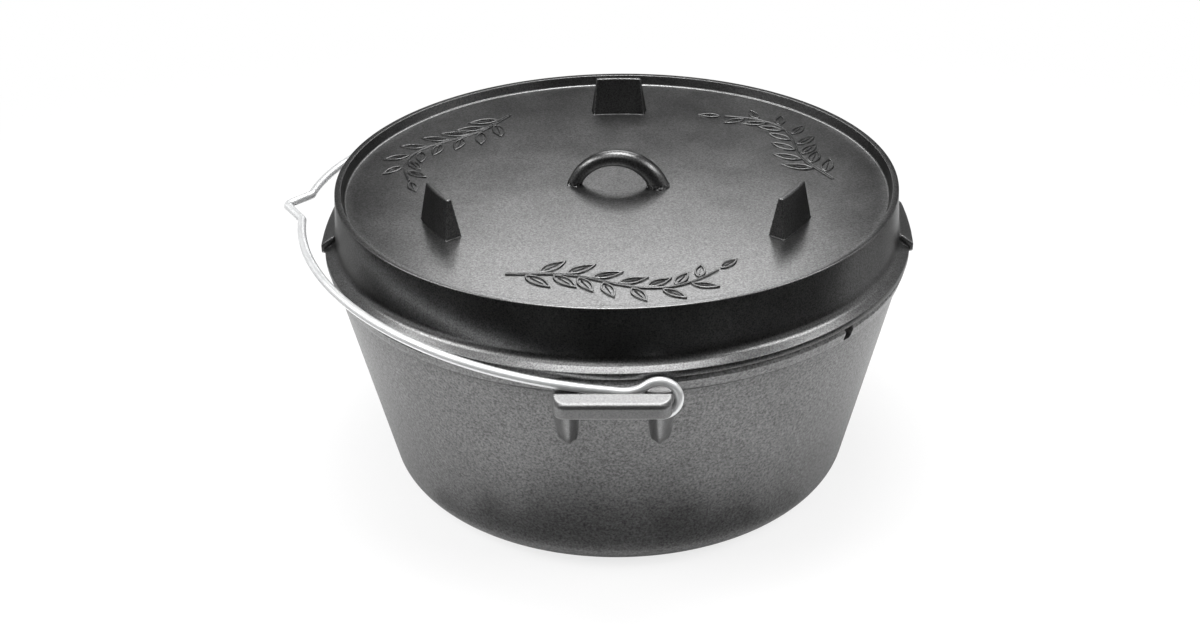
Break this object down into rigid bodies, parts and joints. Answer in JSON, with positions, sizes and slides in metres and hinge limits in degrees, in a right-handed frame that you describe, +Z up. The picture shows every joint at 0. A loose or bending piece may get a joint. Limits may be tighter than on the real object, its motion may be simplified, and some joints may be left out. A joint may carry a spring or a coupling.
{
  "type": "camp dutch oven",
  "caption": "Round cast-iron camp oven: flared flat-bottomed pot with ears, flanged coal-tray lid with wedge feet and a loop handle, and a swinging wire bail.",
  "frame": {"origin": "centre of the pot's flat base, on the floor", "axes": "+Z up along the pot's axis, -Y towards the front ear, -X towards the side that the bail is folded to"},
  "size_m": [0.4525, 0.461, 0.2425],
  "materials": {
    "pot_iron": "seasoned, sand-cast, satin",
    "lid_iron": "seasoned, sand-cast, satin",
    "bail_wire": "bright drawn wire"
  },
  "bodies": {
    "pot": {"pot": "pot_iron", "front_ear": "pot_iron", "rear_ear": "pot_iron"},
    "lid": {"lid": "lid_iron", "lid_handle": "lid_iron", "lid_foot_back": "lid_iron", "lid_foot_left": "lid_iron", "lid_foot_right": "lid_iron", "lid_lug_left": "lid_iron", "lid_lug_right": "lid_iron"},
    "bail": {"bail_arch": "bail_wire", "bail_front_leg": "bail_wire", "bail_rear_leg": "bail_wire"}
  },
  "joints": [
    {"name": "lid_lift", "type": "slide", "parent": "pot", "child": "lid", "axis": [0, 0, 1], "range_m": [0, 0.15]},
    {"name": "bail_swing", "type": "hinge", "parent": "pot", "child": "bail", "pos_m": [0.0293, 0, 0.1666], "axis": [0, 1, 0], "range_deg": [0, 208]}
  ]
}
